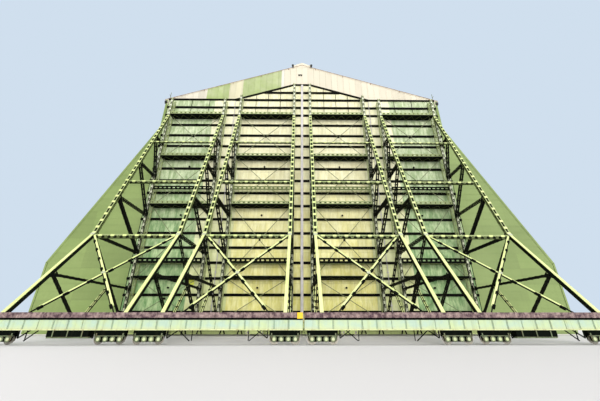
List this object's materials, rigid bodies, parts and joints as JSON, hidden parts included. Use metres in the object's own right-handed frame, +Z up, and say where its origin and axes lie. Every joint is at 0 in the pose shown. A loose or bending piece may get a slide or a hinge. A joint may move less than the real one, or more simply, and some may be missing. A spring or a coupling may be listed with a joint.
{
  "type": "airship shed at 1:10 scale",
  "caption": "Long steel airship shed with stepped sides and a pitched roof, closed at its front by rolling doors on wheels that raking lattice trusses brace from outside",
  "frame": {"origin": "middle of the bounding box in plan, on the ground under the floor slab, with the doors closed", "axes": "+X across the building, +Y along it from the doors to the rear gable, +Z up"},
  "size_m": [8.38, 26.855, 5.6],
  "materials": {
    "concrete": "weathered concrete floor",
    "wall": "flat olive green paint on steel sheet",
    "side": "green painted ribbed steel sheet",
    "roof": "dark green painted ribbed steel sheet",
    "trim": "cream painted steel sheet",
    "interior": "grey-green painted steel",
    "cladding": "pale yellow-green painted steel sheet, faded",
    "steelwork": "light green painted steel sections",
    "girder": "pale green painted plate",
    "sill": "light green painted plate",
    "wheel": "bare cast steel",
    "glass": "clear flat glazing"
  },
  "bodies": {
    "shed": {"floor_slab": "concrete", "gable_front": "wall", "gable_rear": "wall", "ridge_cap": "trim", "side_wall_left": "side", "side_glazing_left": "glass", "sloping_side_left": "roof", "upper_wall_left": "side", "roof_left": "roof", "column_row_left": "interior", "side_wall_right": "side", "side_glazing_right": "glass", "sloping_side_right": "roof", "upper_wall_right": "side", "roof_right": "roof", "column_row_right": "interior"},
    "door_left": {"door_left_cladding": "cladding", "door_left_truss_1": "steelwork", "door_left_truss_2": "steelwork", "door_left_truss_3": "steelwork", "door_left_truss_4": "steelwork", "door_left_wind_frame_inner": "steelwork", "door_left_wind_frame_outer": "steelwork", "door_left_front_girder": "girder", "door_left_rear_sill": "sill"},
    "door_right": {"door_right_cladding": "cladding", "door_right_truss_1": "steelwork", "door_right_truss_2": "steelwork", "door_right_truss_3": "steelwork", "door_right_truss_4": "steelwork", "door_right_wind_frame_inner": "steelwork", "door_right_wind_frame_outer": "steelwork", "door_right_front_girder": "girder", "door_right_rear_sill": "sill", "door_right_cover_strip": "cladding"},
    "door_left_front_wheel_1": {"door_left_front_wheel_1": "wheel"},
    "door_left_front_wheel_2": {"door_left_front_wheel_2": "wheel"},
    "door_left_front_wheel_3": {"door_left_front_wheel_3": "wheel"},
    "door_left_front_wheel_4": {"door_left_front_wheel_4": "wheel"},
    "door_left_front_wheel_5": {"door_left_front_wheel_5": "wheel"},
    "door_left_front_wheel_6": {"door_left_front_wheel_6": "wheel"},
    "door_left_front_wheel_7": {"door_left_front_wheel_7": "wheel"},
    "door_left_front_wheel_8": {"door_left_front_wheel_8": "wheel"},
    "door_left_rear_wheel_1": {"door_left_rear_wheel_1": "wheel"},
    "door_left_rear_wheel_2": {"door_left_rear_wheel_2": "wheel"},
    "door_left_rear_wheel_3": {"door_left_rear_wheel_3": "wheel"},
    "door_left_rear_wheel_4": {"door_left_rear_wheel_4": "wheel"},
    "door_right_front_wheel_1": {"door_right_front_wheel_1": "wheel"},
    "door_right_front_wheel_2": {"door_right_front_wheel_2": "wheel"},
    "door_right_front_wheel_3": {"door_right_front_wheel_3": "wheel"},
    "door_right_front_wheel_4": {"door_right_front_wheel_4": "wheel"},
    "door_right_front_wheel_5": {"door_right_front_wheel_5": "wheel"},
    "door_right_front_wheel_6": {"door_right_front_wheel_6": "wheel"},
    "door_right_front_wheel_7": {"door_right_front_wheel_7": "wheel"},
    "door_right_front_wheel_8": {"door_right_front_wheel_8": "wheel"},
    "door_right_rear_wheel_1": {"door_right_rear_wheel_1": "wheel"},
    "door_right_rear_wheel_2": {"door_right_rear_wheel_2": "wheel"},
    "door_right_rear_wheel_3": {"door_right_rear_wheel_3": "wheel"},
    "door_right_rear_wheel_4": {"door_right_rear_wheel_4": "wheel"}
  },
  "joints": [
    {"name": "door_left_roll", "type": "slide", "parent": "shed", "child": "door_left", "axis": [-1, 0, 0], "range_m": [0, 2.7]},
    {"name": "door_right_roll", "type": "slide", "parent": "shed", "child": "door_right", "axis": [1, 0, 0], "range_m": [0, 2.7]},
    {"name": "door_left_front_wheel_1_spin", "type": "hinge", "parent": "door_left", "child": "door_left_front_wheel_1", "pos_m": [-0.07, -13.39, 0.0435], "axis": [0, 1, 0], "continuous": true},
    {"name": "door_left_front_wheel_2_spin", "type": "hinge", "parent": "door_left", "child": "door_left_front_wheel_2", "pos_m": [-0.25, -13.39, 0.0435], "axis": [0, 1, 0], "continuous": true},
    {"name": "door_left_front_wheel_3_spin", "type": "hinge", "parent": "door_left", "child": "door_left_front_wheel_3", "pos_m": [-1.22, -13.39, 0.0435], "axis": [0, 1, 0], "continuous": true},
    {"name": "door_left_front_wheel_4_spin", "type": "hinge", "parent": "door_left", "child": "door_left_front_wheel_4", "pos_m": [-1.4, -13.39, 0.0435], "axis": [0, 1, 0], "continuous": true},
    {"name": "door_left_front_wheel_5_spin", "type": "hinge", "parent": "door_left", "child": "door_left_front_wheel_5", "pos_m": [-1.545, -13.39, 0.0435], "axis": [0, 1, 0], "continuous": true},
    {"name": "door_left_front_wheel_6_spin", "type": "hinge", "parent": "door_left", "child": "door_left_front_wheel_6", "pos_m": [-1.725, -13.39, 0.0435], "axis": [0, 1, 0], "continuous": true},
    {"name": "door_left_front_wheel_7_spin", "type": "hinge", "parent": "door_left", "child": "door_left_front_wheel_7", "pos_m": [-2.475, -13.39, 0.0435], "axis": [0, 1, 0], "continuous": true},
    {"name": "door_left_front_wheel_8_spin", "type": "hinge", "parent": "door_left", "child": "door_left_front_wheel_8", "pos_m": [-2.655, -13.39, 0.0435], "axis": [0, 1, 0], "continuous": true},
    {"name": "door_left_rear_wheel_1_spin", "type": "hinge", "parent": "door_left", "child": "door_left_rear_wheel_1", "pos_m": [-0.605, -11.4975, 0.0435], "axis": [0, 1, 0], "continuous": true},
    {"name": "door_left_rear_wheel_2_spin", "type": "hinge", "parent": "door_left", "child": "door_left_rear_wheel_2", "pos_m": [-0.785, -11.4975, 0.0435], "axis": [0, 1, 0], "continuous": true},
    {"name": "door_left_rear_wheel_3_spin", "type": "hinge", "parent": "door_left", "child": "door_left_rear_wheel_3", "pos_m": [-1.99, -11.4975, 0.0435], "axis": [0, 1, 0], "continuous": true},
    {"name": "door_left_rear_wheel_4_spin", "type": "hinge", "parent": "door_left", "child": "door_left_rear_wheel_4", "pos_m": [-2.17, -11.4975, 0.0435], "axis": [0, 1, 0], "continuous": true},
    {"name": "door_right_front_wheel_1_spin", "type": "hinge", "parent": "door_right", "child": "door_right_front_wheel_1", "pos_m": [0.07, -13.39, 0.0435], "axis": [0, 1, 0], "continuous": true},
    {"name": "door_right_front_wheel_2_spin", "type": "hinge", "parent": "door_right", "child": "door_right_front_wheel_2", "pos_m": [0.25, -13.39, 0.0435], "axis": [0, 1, 0], "continuous": true},
    {"name": "door_right_front_wheel_3_spin", "type": "hinge", "parent": "door_right", "child": "door_right_front_wheel_3", "pos_m": [1.22, -13.39, 0.0435], "axis": [0, 1, 0], "continuous": true},
    {"name": "door_right_front_wheel_4_spin", "type": "hinge", "parent": "door_right", "child": "door_right_front_wheel_4", "pos_m": [1.4, -13.39, 0.0435], "axis": [0, 1, 0], "continuous": true},
    {"name": "door_right_front_wheel_5_spin", "type": "hinge", "parent": "door_right", "child": "door_right_front_wheel_5", "pos_m": [1.545, -13.39, 0.0435], "axis": [0, 1, 0], "continuous": true},
    {"name": "door_right_front_wheel_6_spin", "type": "hinge", "parent": "door_right", "child": "door_right_front_wheel_6", "pos_m": [1.725, -13.39, 0.0435], "axis": [0, 1, 0], "continuous": true},
    {"name": "door_right_front_wheel_7_spin", "type": "hinge", "parent": "door_right", "child": "door_right_front_wheel_7", "pos_m": [2.475, -13.39, 0.0435], "axis": [0, 1, 0], "continuous": true},
    {"name": "door_right_front_wheel_8_spin", "type": "hinge", "parent": "door_right", "child": "door_right_front_wheel_8", "pos_m": [2.655, -13.39, 0.0435], "axis": [0, 1, 0], "continuous": true},
    {"name": "door_right_rear_wheel_1_spin", "type": "hinge", "parent": "door_right", "child": "door_right_rear_wheel_1", "pos_m": [0.605, -11.4975, 0.0435], "axis": [0, 1, 0], "continuous": true},
    {"name": "door_right_rear_wheel_2_spin", "type": "hinge", "parent": "door_right", "child": "door_right_rear_wheel_2", "pos_m": [0.785, -11.4975, 0.0435], "axis": [0, 1, 0], "continuous": true},
    {"name": "door_right_rear_wheel_3_spin", "type": "hinge", "parent": "door_right", "child": "door_right_rear_wheel_3", "pos_m": [1.99, -11.4975, 0.0435], "axis": [0, 1, 0], "continuous": true},
    {"name": "door_right_rear_wheel_4_spin", "type": "hinge", "parent": "door_right", "child": "door_right_rear_wheel_4", "pos_m": [2.17, -11.4975, 0.0435], "axis": [0, 1, 0], "continuous": true}
  ]
}
